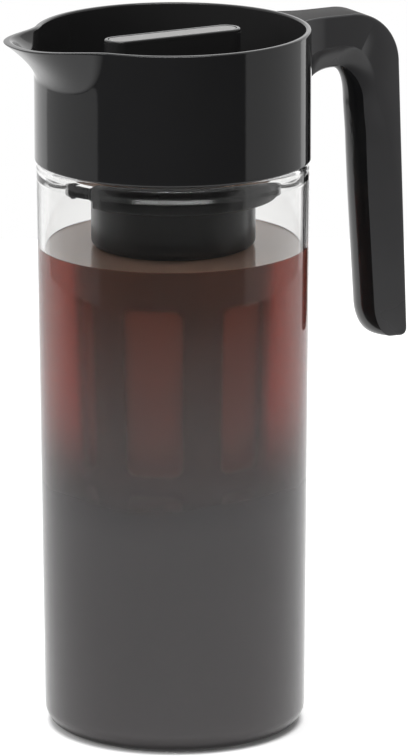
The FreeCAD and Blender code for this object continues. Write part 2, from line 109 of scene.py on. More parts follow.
class PitcherSizes(bpy.types.PropertyGroup):
    """Sizes of the clear pitcher."""

    foot_radius: length("Foot radius", 54.5, "Outside radius at the foot")
    body_radius: length("Body radius", 56.6, "Outside radius under the shoulder")
    foot_round: length("Foot round", 8.5, "Outside corner between wall and base")
    wall: length("Wall", 2.6, "Thickness of the wall")
    floor: length("Floor", 3.0, "Thickness of the base")
    ledge: length("Ledge height", 240.6, "Top of the shoulder")
    shoulder_round: length("Shoulder round", 2.6, "Round at the shoulder")
    shoulder_slope: length("Shoulder slope", 7.0, "Height over which the inside narrows")
    neck_radius: length("Neck radius", 53.4, "Outside radius of the neck")
    neck_wall: length("Neck wall", 2.5, "Thickness of the neck")
    bead_out: length("Bead", 0.9, "How far the snap bead stands out")
    bead_height: length("Bead height", 2.4, "Height of the snap bead")
    bead_rise: length("Bead rise", 8.2, "Ledge to the bead's underside")


class CoffeeSizes(bpy.types.PropertyGroup):
    """Level and looks of the coffee."""

    level: length("Level", 205.0, "Height of the coffee's surface")
    wet: length("Wet overlap", 0.05, "How far the coffee runs into the wall, so that no air shows")
    meniscus: length("Meniscus", 0.5, "How far the coffee climbs at the wall")
    haze_below: length("Haze below", 140.0, "Height under which the haze thickens")
    dense_below: length("Dense below", 90.0, "Height under which the coffee is opaque")
    grey_below: length("Grey below", 104.0, "Height under which the coffee's haze is grey")
    haze: factor("Haze", 0.20, "Cover of the haze right under the surface")
    thick: factor("Thick haze", 0.97, "Cover of the haze in the opaque coffee")
    skin: factor("Surface haze", 0.90, "Cover of the haze on the surface")
    density: amount("Density", 60.0, "Strength of the coffee's absorption, per metre")
    tint: colour("Tint", (0.73, 0.25, 0.10), "Colour that the clear coffee lets through")
    sediment: colour("Sediment", (0.104, 0.093, 0.097), "Colour of the opaque coffee")
    brown: colour("Haze colour", (0.42, 0.165, 0.09), "Colour of the thin haze inside")
    blur: factor("Blur", 0.24, "How much the coffee blurs what is in it")
    foam: colour("Surface colour", (0.63, 0.40, 0.29), "Colour of the haze on the surface")


class CollarSizes(bpy.types.PropertyGroup):
    """Sizes of the collar and its spout."""

    wall: length("Wall", 2.4, "Thickness of the collar's wall")
    deck: length("Deck", 3.0, "Thickness of the deck")
    snap_radius: length("Snap radius", 54.6, "Inside radius round the neck")
    lip_top: length("Lip top", 248.5, "Top of the lip that catches the neck's bead")
    lip_height: length("Lip height", 1.8, "Height of that lip")
    lip: length("Lip", 0.9, "How far that lip stands inwards")
    bore_radius: length("Bore radius", 44.0, "Inside radius of the lid's bore")
    bore_wall: length("Bore wall", 2.2, "Thickness of the bore's wall")
    bore_drop: length("Bore drop", 12.5, "Bore's length under the deck")
    port_angle: angle("Port angle", 39.0, "Width of the pouring port, as an angle")
    port_lintel: length("Port lintel", 2.1, "Bore left above the port")
    edge_round: length("Edge round", 0.6, "Round of the lower edge")
    rim_round: length("Rim round", 0.85, "Round of the rim's edges")
    reach: length("Spout reach", 17.4, "Tip beyond the collar's outside")
    spread: angle("Spout spread", 23.5, "Spout's axis to its flank")
    fullness: amount("Spout fullness", 3.0, "How square the spout is in plan")
    depth: length("Spout depth", 20.0, "Height over which the spout grows")
    curve: amount("Spout curve", 1.5, "How fast the spout grows")
    bite: length("Spout bite", 0.6, "How far the spout's edges run into the wall")
    crease: length("Spout crease", 0.3, "Softness of the crease round the spout")
    drop: length("Spout drop", 0.9, "How far the rim falls towards the tip")
    fall_start: length("Fall start", 43.0, "Distance from the axis where the rim starts to fall")
    fall_length: length("Fall length", 41.7, "Length over which it falls")
    columns: count("Columns", 480, "Columns of the collar's grid")


class HandleSizes(bpy.types.PropertyGroup):
    """Sizes of the handle."""

    reach: length("Reach", 45.0, "Collar's outside to the handle's back")
    drop: length("Length", 140.2, "Rim to the handle's lower end")
    width: length("Width", 19.2, "Width of the handle")
    bar: length("Bar depth", 23.7, "Rim down to the bar's keel")
    bend: length("Bend", 22.5, "Outside radius of the bend")
    arch: length("Arch", 7.0, "Inside of the bend, along the bar")
    arch_drop: length("Arch drop", 16.0, "Inside of the bend, down the arm")
    arm_top: length("Arm top", 20.1, "Arm's thickness under the bend")
    arm_end: length("Arm end", 17.3, "Arm's thickness at its lower end")
    lean: angle("Lean", 2.1, "How far the arm leans outwards")
    flare: length("Flare", 3.2, "Extra half width at the collar")
    root_drop: length("Root drop", 17.0, "Extra depth at the collar")
    root_length: length("Root length", 17.0, "Length over which the root grows")
    keel: length("Keel", 3.2, "Half width of the bar's keel")
    bar_crown: length("Bar crown", 1.5, "Bulge of the inner face under the bar")
    top_crown: length("Top crown", 4.2, "Bulge of the inner face under the arch")
    arm_crown: length("Arm crown", 3.0, "Bulge of the inner face along the arm")
    cove: length("Cove", 8.0, "Depth of the cove beside the inner face, under the arch")
    edge_round: length("Edge round", 1.0, "Round between back and side")
    inlay: length("Inlay", 1.2, "Depth of the matte strip")
    cover: length("Cover", 2.4, "Depth of the inner cover")
    end_in: length("End round", 8.0, "Lower end's inner corner, along the end")
    end_up: length("End height", 13.5, "Lower end's inner corner, its height")
    end_out: length("End back round", 3.0, "Lower end's outer corner")
    seam: length("Seam", 0.12, "Groove between the handle's pieces")


class LidSizes(bpy.types.PropertyGroup):
    """Sizes of the lid's plate and grip."""

    radius: length("Radius", 50.0, "Radius of the plate")
    plate: length("Plate", 2.4, "Thickness of the plate")
    grip_length: length("Grip length", 62.0, "Length of the grip")
    grip_width: length("Grip width", 12.8, "Width of the grip")
    grip_foot: length("Grip foot", 1.6, "Fillet at the grip's foot")
    cap: length("Cap", 1.7, "Height of the grip's cap")
    cap_round: length("Cap round", 0.7, "Round of the cap's edge")
    cap_rim: length("Cap rim", 0.8, "Width of the rim round the cap's plate")
    cap_groove: length("Cap groove", 0.35, "Groove inside that rim")


class Colours(bpy.types.PropertyGroup):
    """Colours of the plastics."""

    gloss: colour("Gloss black", (0.012, 0.012, 0.0125), "Collar, grip and inner cover")
    # painted light: the same black plastic as the gloss, made lighter for the lid and the collar's
    # inside to make up for the shade inside the collar
    inside: colour("Inside black painted lighter", (0.021, 0.0208, 0.021), "Lid and collar's inside")
    satin: colour("Satin black", (0.037, 0.0365, 0.038), "Handle's sides")
    matte: colour("Matte black", (0.030, 0.029, 0.029), "Handle's strip")
    filter: colour("Filter black", (0.014, 0.0137, 0.0134), "Filter's cup, frame and cap")
    gauze: colour("Gauze", (0.92, 0.80, 0.66), "Filter's mesh")
    plate: colour("Grip plate", (0.17, 0.167, 0.164), "Plate in the lid's grip")
    rubber: colour("Silicone", (0.022, 0.022, 0.022), "Seals")


class StageSizes(bpy.types.PropertyGroup):
    """Camera, floor and studio light."""

    azimuth: angle("Azimuth", -28.0, "Direction of the camera's right, from +X")
    distance: length("Distance", 2995.3, "Camera's distance from the axis")
    height: length("Height", 899.5, "Camera's height")
    pitch: amount("Pitch", 0.2459, "Camera's downward tilt, in radians")
    yaw: amount("Yaw", 0.0042, "Camera's turn, in radians")
    roll: amount("Roll", -0.0024, "Camera's roll, in radians")
    lens: amount("Lens", 352.96, "Focal length for a 36 mm frame")
    floor_radius: length("Floor radius", 900.0, "Radius of the floor")
    floor_near: length("Lit floor", 540.0, "Radius within which the floor is bright in reflections")
    softbox: amount("Softbox", 15.0, "Brightness of the softbox high in front, in reflections")
    inside: amount("Inner light", 1.3, "Light from all round that comes in through clear plastic")
    ambient: factor("Ambient", 0.55, "Light from all round")
    overhead: amount("Overhead", 7.0, "Power of the lamp overhead, in watts")
    key: amount("Key", 9.0, "Power of the lamp at the left, in watts")


class CoffeeMaker(bpy.types.PropertyGroup):
    """All settings of the coffee maker."""

    pitcher: PointerProperty(type=PitcherSizes)
    coffee: PointerProperty(type=CoffeeSizes)
    collar: PointerProperty(type=CollarSizes)
    handle: PointerProperty(type=HandleSizes)
    lid: PointerProperty(type=LidSizes)
    colours: PointerProperty(type=Colours)
    stage: PointerProperty(type=StageSizes)


# ---- shaders ---------------------------------------------------------------
def maths(operation, swapped=False):
    """Method that adds a Math node on a value and others; swapped, the value is last."""
    def method(self, *others):
        values = (*others, self) if swapped else (self, *others)
        return self.finish.out(
            "ShaderNodeMath", {"operation": operation}, dict(enumerate(values)), "Value")

    return method


class Value:
    """A shader socket that takes part in Python arithmetic.  a.turn(b) is the angle
    of the point (b, a), in radians."""

    def __init__(self, finish, socket):
        self.finish = finish
        self.socket = socket

    __add__ = __radd__ = maths("ADD")
    __sub__ = maths("SUBTRACT")
    __rsub__ = maths("SUBTRACT", swapped=True)
    __mul__ = __rmul__ = maths("MULTIPLY")
    __truediv__ = maths("DIVIDE")
    __pow__ = maths("POWER")
    __abs__ = maths("ABSOLUTE")
    sine = maths("SINE")
    turn = maths("ARCTAN2")
    least = maths("MINIMUM")
    most = maths("MAXIMUM")

    def ramp(self, start, stop, low=0.0, high=1.0, kind="SMOOTHSTEP"):
        """Value eased from low at start to high at stop."""
        ends = {"Value": self, "From Min": start, "From Max": stop, "To Min": low, "To Max": high}
        return self.finish.out("ShaderNodeMapRange", {"interpolation_type": kind}, ends, "Result")


class Finish:
    """The nodes of one material or world."""

    def __init__(self, owner, output="ShaderNodeOutputMaterial"):
        owner.use_nodes = True
        self.owner = owner
        self.tree = owner.node_tree
        self.tree.nodes.clear()
        self.output = self.tree.nodes.new(output)

    @staticmethod
    def pick(sockets, key):
        """Socket by its number, identifier or name."""
        if isinstance(key, int):
            return sockets[key]
        for socket in sockets:
            if socket.identifier == key:
                return socket
        return sockets[key]

    def node(self, kind, settings, inputs):
        """Node of a kind: its settings are set first, then its sockets."""
        node = self.tree.nodes.new(kind)
        for key, value in settings.items():
            setattr(node, key, value)
        self.feed(node, inputs)
        return node

    def feed(self, node, inputs):
        """Sets or links the sockets of a node."""
        for key, value in inputs.items():
            socket = self.pick(node.inputs, key)
            if isinstance(value, Value):
                self.tree.links.new(value.socket, socket)
            else:
                socket.default_value = value

    def out(self, kind, settings, inputs, output):
        """One output of a new node."""
        return Value(self, self.pick(self.node(kind, settings, inputs).outputs, output))

    def place(self, output="Object"):
        """Texture coordinates."""
        return self.out("ShaderNodeTexCoord", {}, {}, output)

    def axes(self, vector):
        """The three parts of a vector."""
        node = self.node("ShaderNodeSeparateXYZ", {}, {0: vector})
        return [Value(self, socket) for socket in node.outputs]

    def noise(self, vector, scale, detail=2.0, roughness=0.5):
        """Noise between about 0 and 1."""
        inputs = {"Vector": vector, "Scale": scale, "Detail": detail, "Roughness": roughness}
        return self.out("ShaderNodeTexNoise", {}, inputs, "Fac")

    def blend(self, share, first, second):
        """Colour between two colours."""
        inputs = {"Factor_Float": share, "A_Color": first, "B_Color": second}
        return self.out("ShaderNodeMix", {"data_type": "RGBA"}, inputs, "Result_Color")

    def shade(self, share, rgb, dark, bright):
        """Colour between two brightnesses of itself."""
        return self.blend(share, opaque(rgb, dark), opaque(rgb, bright))

    def bump(self, height, distance):
        """Normal bent by a height."""
        inputs = {"Height": height, "Distance": distance, "Strength": 1.0}
        return self.out("ShaderNodeBump", {}, inputs, "Normal")

    def principled(self, inputs):
        """Principled shader."""
        return self.out("ShaderNodeBsdfPrincipled", {}, inputs, "BSDF")

    def surface(self, shader):
        """Sends a shader to the surface."""
        self.feed(self.output, {"Surface": shader})
        return self.owner


def opaque(rgb, scale=1.0):
    """Colour with alpha, brightened by a factor."""
    return [min(part * scale, 1.0) for part in rgb] + [1.0]


def moulded(name, rgb, roughness, drift=0.03, grain=0.012 * MM, grain_scale=260.0, specular=0.5):
    """Moulded plastic: the colour and roughness drift with a broad noise, and a
    fine noise makes the ripple or grain left by the mould."""
    finish = Finish(bpy.data.materials.new(name))
    place = finish.place()
    broad = finish.noise(place, 28.0, 3.0)
    fine = finish.noise(place, grain_scale, 3.0, 0.6)
    return finish.surface(finish.principled({
        "Base Color": finish.shade(broad, rgb, 0.85, 1.15),
        "Roughness": roughness + (broad - 0.5) * drift,
        "Specular IOR Level": specular,
        "Normal": finish.bump(fine, grain),
    }))


def clear_plastic(name):
    """Clear plastic whose surface ripples faintly round the pitcher."""
    finish = Finish(bpy.data.materials.new(name))
    tall = {"Vector": finish.place(), "Scale": (1.0, 1.0, 0.35)}
    squeezed = finish.out("ShaderNodeMapping", {}, tall, "Vector")
    ripple = finish.noise(squeezed, 16.0, 1.0)
    return finish.surface(finish.principled({
        "Base Color": (0.95, 0.95, 0.945, 1.0),
        "Roughness": 0.0,
        "IOR": 1.49,
        "Specular Tint": (0.6, 0.6, 0.6, 1.0),
        "Transmission Weight": 1.0,
        "Normal": finish.bump(ripple, 0.05 * MM),
    }))


def silicone(name, rgb):
    """Soft silicone: low gloss, a little light passing under its surface."""
    finish = Finish(bpy.data.materials.new(name))
    place = finish.place()
    mottled = finish.noise(place, 120.0, 3.0)
    return finish.surface(finish.principled({
        "Base Color": finish.shade(mottled, rgb, 0.92, 1.05),
        "Roughness": 0.42 + mottled * 0.12,
        "Subsurface Weight": 0.15,
        "Subsurface Scale": 1.5 * MM,
        "Normal": finish.bump(finish.noise(place, 900.0), 0.03 * MM),
    }))


def gauze(name, rgb, pitch=0.62 * MM, radius=27.0 * MM):
    """Woven mesh: wires run round and along the sleeve, each the ridge of a sine,
    over and under each other, and the gaps between them are holes.  Its colour is
    lighter where a wire rides over and darker where it dips under: painted shade."""
    finish = Finish(bpy.data.materials.new(name))
    x, y, z = finish.axes(finish.place())
    across = y.turn(x) * (math.pi * radius / pitch)
    along = z * (math.pi / pitch)
    wire_across = abs(across.sine())
    wire_along = abs(along.sine())
    wire, hole = 0.42, 0.60
    gap = wire_across.ramp(wire, hole) * wire_along.ramp(wire, hole)
    weave = (across.sine() * along.sine()) * 0.5 + 0.5
    return finish.surface(finish.principled({
        # painted shade: the weave's height lightens the wires on top and darkens those beneath
        "Base Color": finish.shade(weave, rgb, 0.8, 1.2),
        "Roughness": 0.5,
        "Alpha": 1.0 - gap * 0.4,
        "Normal": finish.bump(weave, 0.05 * MM),
    }))


def brewed(name, sizes, edge):
    """Coffee: clear and red, so that light falls off with depth, under a haze of
    fine sediment that thickens and turns from brown to grey on its way down.  The
    surface has a haze of its own up to its edge, a radius."""
    finish = Finish(bpy.data.materials.new(name))
    place = finish.place()
    x, y, height = finish.axes(place)
    sway = 14.0 * MM
    drifting = height + (finish.noise(place, 18.0, 3.0) - 0.5) * sway
    down = drifting.ramp(sizes.haze_below, sizes.dense_below)
    deep = drifting.ramp(sizes.level, sizes.grey_below, kind="LINEAR")
    inner = (x * x + y * y).ramp((edge - 0.2 * MM) ** 2, (edge - 0.5 * MM) ** 2)
    surface = height.ramp(sizes.level - 0.3 * MM, sizes.level - 0.05 * MM) * inner
    haze = (down * (sizes.thick - sizes.haze) + sizes.haze).most(surface * sizes.skin)
    liquid = finish.principled({
        "Base Color": (1.0, 1.0, 1.0, 1.0),
        "Roughness": (1.0 - surface) * sizes.blur,
        "IOR": 1.333,
        "Transmission Weight": 1.0,
    })
    grey = finish.shade(finish.noise(place, 30.0, 4.0), sizes.sediment, 0.93, 1.07)
    inside = finish.blend(deep, opaque(sizes.brown), grey)
    murky = finish.principled({
        "Base Color": finish.blend(surface, inside, opaque(sizes.foam)),
        "Roughness": 0.0,
        "IOR": 1.31,
    })
    mixed = finish.out("ShaderNodeMixShader", {}, {0: haze, 1: liquid, 2: murky}, "Shader")
    soaked = finish.node("ShaderNodeVolumeAbsorption", {}, {
        "Color": opaque(sizes.tint), "Density": sizes.density})
    finish.tree.links.new(soaked.outputs["Volume"], finish.output.inputs["Volume"])
    return finish.surface(mixed)


# ---- surfaces --------------------------------------------------------------
def unit(vector):
    """Vector of length 1."""
    return vector / np.linalg.norm(vector)


def ease(t):
    """3t^2 - 2t^3 between 0 and 1, flat outside."""
    t = np.clip(t, 0.0, 1.0)
    return t * t * (3 - 2 * t)


def between(first, second, share):
    """first + (second - first) * share."""
    return first + (second - first) * share


def quarter(t):
    """Share lost to a quarter round: 1 - sqrt(1 - (1 - t)^2) for t from 0, at the
    edge, to 1, where the round ends."""
    gone = 1 - np.clip(t, 0.0, 1.0)
    return 1 - np.sqrt(1 - gone * gone)


def rounded(corners, steps=8):
    """Outline of (a, b, radius) corners: each round is centre + start * cos t +
    (start turned by 90 degrees) * sin t between its two tangent points."""
    spots = np.array([corner[:2] for corner in corners], float)
    before, after = np.roll(spots, 1, 0), np.roll(spots, -1, 0)
    outline = []
    for here, back, ahead, corner in zip(spots, before, after, corners):
        radius = corner[2]
        if radius <= 0:
            outline.append(here[None])
            continue
        to_back = unit(back - here)
        to_ahead = unit(ahead - here)
        half = math.acos(np.clip(to_back @ to_ahead, -1, 1)) / 2
        centre = here + unit(to_back + to_ahead) * radius / math.sin(half)
        start = here + to_back * radius / math.tan(half) - centre
        stop = here + to_ahead * radius / math.tan(half) - centre
        turn = math.atan2(start[0] * stop[1] - start[1] * stop[0], start @ stop)
        t = np.linspace(0, turn, steps + 1)[:, None]
        outline.append(centre + start * np.cos(t) + np.array([-start[1], start[0]]) * np.sin(t))
    return np.vstack(outline)


def right_angle(steps):
    """Angles from 0 to a right angle."""
    return np.linspace(0, np.pi / 2, steps)


def full_turn(steps):
    """Angles of one turn, as a column."""
    return np.linspace(0, 2 * np.pi, steps, endpoint=False)[:, None]


def arc(r, z, radius, out, up):
    """Quarter round (r + radius * out, z + radius * up), where out and up are the
    sine and cosine of its angles, or their negatives."""
    return np.stack([r + radius * out, z + radius * up], axis=1)


def turned(radius, turn, height):
    """Points (r cos a, r sin a, z)."""
    return np.stack([radius * np.cos(turn), radius * np.sin(turn), height + 0 * turn], axis=-1)


def grid(points, wrap_rows=False, wrap_columns=False):
    """A grid's points as one list, and the corner numbers of the quads between
    neighbours."""
    rows, columns = points.shape[:2]
    index = np.arange(rows * columns).reshape(rows, columns)
    if wrap_rows:
        index = np.vstack([index, index[:1]])
    if wrap_columns:
        index = np.hstack([index, index[:, :1]])
    corners = [index[:-1, :-1], index[1:, :-1], index[1:, 1:], index[:-1, 1:]]
    return points.reshape(-1, 3), np.stack(corners, axis=-1).reshape(-1, 4)


def revolved(profile, columns=256):
    """Surface (r cos a, r sin a, z) of a profile of (r, z), turned through a."""
    return grid(turned(profile[:, 0], full_turn(columns), profile[:, 1]), wrap_rows=True)


def placed(name, data):
    """New object in the scene, at the origin."""
    made = bpy.data.objects.new(name, data)
    bpy.context.scene.collection.objects.link(made)
    return made


def piece(name, parts, body, materials, replaced=(), sharp=38.0):
    """Object from (points, quads, polygons) parts: welded, its volume made positive
    so that faces point outwards, smooth but for edges sharper than an angle."""
    points, loops, sizes, start = [], [], [], 0
    for part in parts:
        spots, fours = part[0], part[1]
        points.append(spots)
        loops.append((fours + start).ravel())
        sizes.append(np.full(len(fours), 4))
        for polygon in (part[2] if len(part) > 2 else ()):
            loops.append(np.asarray(polygon) + start)
            sizes.append(np.array([len(polygon)]))
        start += len(spots)
    points, loops, sizes = np.vstack(points), np.concatenate(loops), np.concatenate(sizes)
    mesh = bpy.data.meshes.new(name)
    mesh.vertices.add(len(points))
    mesh.vertices.foreach_set("co", points.astype(np.float32).ravel())
    mesh.loops.add(len(loops))
    mesh.loops.foreach_set("vertex_index", loops.astype(np.int32))
    mesh.polygons.add(len(sizes))
    mesh.polygons.foreach_set("loop_start", (np.cumsum(sizes) - sizes).astype(np.int32))
    mesh.update(calc_edges=True)
    mesh.validate()
    work = bmesh.new()
    work.from_mesh(mesh)
    bmesh.ops.remove_doubles(work, verts=work.verts, dist=0.002 * MM)
    if work.calc_volume(signed=True) < 0:
        bmesh.ops.reverse_faces(work, faces=work.faces)
    work.to_mesh(mesh)
    work.free()
    mesh.shade_smooth()
    mesh.set_sharp_from_angle(angle=math.radians(sharp))
    made = placed(name, mesh)
    for material in materials:
        mesh.materials.append(material)
    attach(made, body)
    if replaced:
        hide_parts(*replaced)
    return made


def second_material(made, chosen):
    """Gives an object's second material to the faces whose centres and normals are
    chosen by a function."""
    faces = made.data.polygons
    found = []
    for key in ("center", "normal"):
        values = np.empty(len(faces) * 3, np.float32)
        faces.foreach_get(key, values)
        found.append(values.reshape(-1, 3))
    faces.foreach_set("material_index", chosen(*found).astype(np.int32))


def dress(node, material):
    """Gives a CAD node its material."""
    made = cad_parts[node]
    made.data.materials.clear()
    made.data.materials.append(material)


# ---- pitcher and coffee ----------------------------------------------------
def pitcher_profile(sizes):
    """Outline (r, z) of the pitcher, from the base's centre round to the floor's."""
    neck_in = sizes.neck_radius - sizes.neck_wall
    bead_r = sizes.neck_radius + sizes.bead_out
    bead_z = sizes.ledge + sizes.bead_rise
    bead_top = bead_z + sizes.bead_height
    return rounded([
        (0, 0, 0),
        (sizes.foot_radius, 0, sizes.foot_round),
        (sizes.body_radius, sizes.ledge, sizes.shoulder_round),
        (sizes.neck_radius, sizes.ledge, 0.5 * MM),
        (sizes.neck_radius, bead_z, 0),
        (bead_r, bead_z, sizes.bead_out / 2),
        (bead_r, bead_top, sizes.bead_out / 2),
        (sizes.neck_radius, bead_top, 0),
        (sizes.neck_radius, NECK_Z, 0.4 * MM),
        (neck_in, NECK_Z, 0.4 * MM),
        (neck_in, sizes.ledge, sizes.shoulder_round),
        (sizes.body_radius - sizes.wall, sizes.ledge - sizes.shoulder_slope, sizes.shoulder_round),
        (sizes.foot_radius - sizes.wall, sizes.floor, sizes.foot_round - sizes.wall),
        (0, sizes.floor, 0),
    ], 12)


def coffee_profile(pitcher, sizes):
    """Outline (r, z) of the coffee: the pitcher's inside, wetted, and a surface that
    climbs at the wall as height * exp(-distance / height)."""
    low, high = pitcher.floor - sizes.wet, sizes.level
    rise = pitcher.ledge - pitcher.shoulder_slope - pitcher.floor
    slope = (pitcher.body_radius - pitcher.foot_radius) / rise
    at_floor = pitcher.foot_radius - pitcher.wall + sizes.wet
    at_level = at_floor + slope * (high - pitcher.floor)
    corner = pitcher.foot_round - pitcher.wall + sizes.wet
    below = rounded([
        (0, low, 0), (at_floor, low, corner), (at_level, high + sizes.meniscus, 0)], 12)
    distance = np.geomspace(0.02 * MM, at_level - 0.5 * MM, 40)
    climb = sizes.meniscus * np.exp(-distance / sizes.meniscus)
    surface = np.stack([at_level - distance, high + climb], axis=1)
    return np.vstack([below, surface, [[0, high]]])


class COFFEEMAKER_OT_pitcher(bpy.types.Operator):
    """Builds the clear pitcher."""

    bl_idname = "coffee_maker.pitcher"
    bl_label = "Pitcher"

    def execute(self, context):
        """A profile turned about the axis."""
        profile = pitcher_profile(context.scene.coffee_maker.pitcher)
        piece("clear_pitcher", [revolved(profile, 360)], "jug",
              [clear_plastic("clear plastic")], ["pitcher", "pitcher_neck"])
        return {"FINISHED"}


class COFFEEMAKER_OT_coffee(bpy.types.Operator):
    """Fills the pitcher with coffee."""

    bl_idname = "coffee_maker.coffee"
    bl_label = "Coffee"

    def execute(self, context):
        """The pitcher's inside turned about the axis, up to the coffee's level."""
        settings = context.scene.coffee_maker
        profile = coffee_profile(settings.pitcher, settings.coffee)
        finish = brewed("coffee", settings.coffee, float(profile[:, 0].max()))
        piece("coffee", [revolved(profile, 360)], "jug", [finish])
        return {"FINISHED"}


# ---- collar ----------------------------------------------------------------
def collar_outline(sizes):
    """Closed outline (r, z) of the collar, and a mark for each point: 0 on the
    spout's outer surface, 1 on its inner one, -1 where the spout has no hold.  Also
    the numbers of the four points round the pouring port."""
    inside = COLLAR_R - sizes.wall
    bore_out = sizes.bore_radius + sizes.bore_wall
    deck_top = DECK_Z + sizes.deck
    lintel = BORE_TOP - sizes.port_lintel
    edge, round_up = sizes.edge_round, sizes.rim_round
    rim_low, fillet, rows = RIM_Z - round_up - 0.2 * MM, 1.2 * MM, 48
    t = right_angle(7)
    sine, cosine = np.sin(t), np.cos(t)
    lower = arc(COLLAR_R - edge, COLLAR_Z + edge, edge, sine, -cosine)
    heights = np.concatenate([
        np.linspace(COLLAR_Z + 2 * edge, RIM_Z - sizes.depth - 2 * MM, 6),
        np.linspace(RIM_Z - sizes.depth - 1 * MM, rim_low, rows),
    ])
    wall = np.stack([np.full(len(heights), COLLAR_R), heights], axis=1)
    rim_out = arc(COLLAR_R - round_up, RIM_Z - round_up, round_up, cosine, sine)
    rim_in = arc(inside + round_up, RIM_Z - round_up, round_up, -sine, cosine)
    falling = np.linspace(rim_low, RIM_Z - sizes.depth, rows)
    inner = np.stack([np.full(rows, inside), falling], axis=1)
    deck = arc(inside - fillet, deck_top + fillet, fillet, cosine, -sine)
    lip_in, lip_low = sizes.snap_radius - sizes.lip, sizes.lip_top - sizes.lip_height
    rest = np.array([
        (bore_out, deck_top), (bore_out, lintel), (bore_out, BORE_TOP),
        (sizes.bore_radius, BORE_TOP), (sizes.bore_radius, lintel), (sizes.bore_radius, deck_top),
        (sizes.bore_radius, DECK_Z - sizes.bore_drop), (bore_out, DECK_Z - sizes.bore_drop),
        (bore_out, DECK_Z), (sizes.snap_radius, DECK_Z), (sizes.snap_radius, sizes.lip_top),
        (lip_in, sizes.lip_top), (lip_in, lip_low),
        (sizes.snap_radius, lip_low), (sizes.snap_radius, COLLAR_Z),
    ])
    runs = [(lower, -1), (wall, 0), (rim_out, 0), (rim_in, 1), (inner, 1), (deck, -1), (rest, -1)]
    side = np.concatenate([np.full(len(run), mark) for run, mark in runs])
    first = len(side) - len(rest)
    return np.vstack([run for run, _ in runs]), side, (first, first + 1, first + 4, first + 5)


def collar_part(sizes):
    """Collar: an outline turned about the axis, whose wall is pushed out to the
    spout by (reach of its depth + bite) * exp(-|angle / spread|^fullness) - bite,
    softly cut off at the wall, and whose rim falls towards the tip.  The port is cut
    out of the bore's wall, and closed by a sill, a lintel and two jambs."""
    outline, side, (sill_out, lintel_out, lintel_in, sill_in) = collar_outline(sizes)
    turn = full_turn(sizes.columns)
    off = np.abs(turn - np.pi)
    radius, height = outline[:, 0][None], outline[:, 1][None]
    depth = RIM_Z - height + np.where(side == 1, sizes.wall / 2, 0)[None]
    share = 1 - depth / sizes.depth
    grown = np.where(share > 0, sizes.reach * np.abs(share) ** sizes.curve, share * sizes.bite * 2)
    bell = np.exp(-np.abs(off / sizes.spread) ** sizes.fullness)
    push = (grown + sizes.bite) * bell - sizes.bite
    push = (push + np.sqrt(push ** 2 + sizes.crease ** 2)) / 2
    hold = 1.3  # radians from the tip, past which the wall stays round
    push = push * ease((hold - off) * 4) * ease(share * 6 + 1)
    points = turned(radius + np.where(side >= 0, push, 0), turn, height)
    tipward = np.clip((-points[..., 0] - sizes.fall_start) / sizes.fall_length, 0, 1)
    points[..., 2] -= sizes.drop * tipward ** 2 * np.clip(share, 0, 1) * (side >= 0)
    columns, rows = points.shape[:2]
    spots, fours = grid(points, wrap_rows=True, wrap_columns=True)
    reach = int(round(sizes.port_angle / 2 / (2 * np.pi) * columns))
    left, right = columns // 2 - reach, columns // 2 + reach
    keep = np.ones((columns, rows), bool)
    keep[left:right, sill_out] = False
    keep[left:right, lintel_in] = False
    across = np.arange(left, right)[:, None] * rows
    closed = [
        np.hstack([across + a, across + b, across + rows + b, across + rows + a])
        for a, b in ((sill_out, sill_in), (lintel_in, lintel_out))
    ]
    jambs = np.array([
        [left * rows + k for k in (sill_out, lintel_out, lintel_in, sill_in)],
        [right * rows + k for k in (sill_in, lintel_in, lintel_out, sill_out)],
    ])
    return spots, np.vstack([fours[keep.ravel()], *closed, jambs])


class COFFEEMAKER_OT_collar(bpy.types.Operator):
    """Builds the black collar with its spout and pouring port."""

    bl_idname = "coffee_maker.collar"
    bl_label = "Collar"

    def execute(self, context):
        """One grid, round by outline."""
        settings = context.scene.coffee_maker
        gloss = moulded("gloss black", settings.colours.gloss, roughness=0.06)
        # painted light: the collar's inside gets a lighter black than its outside, against the
        # shade inside the collar
        inside = moulded("inside black painted lighter", settings.colours.inside, roughness=0.12)
        made = piece("spouted_collar", [collar_part(settings.collar)], "jug",
                     [gloss, inside], ["collar"], sharp=50.0)
        # the faces inside the collar, above the deck, take that lighter black: painted light
        second_material(made, lambda centres, normals: (
            (centres * normals)[:, :2].sum(axis=1) < 0) & (centres[:, 2] > DECK_Z))
        return {"FINISHED"}


# ---- handle ----------------------------------------------------------------
def section_run(stations):
    """Length from the back point to the inner point at each station."""
    across = stations["inner_x"] - stations["back_x"]
    return np.hypot(across, stations["inner_z"] - stations["back_z"])


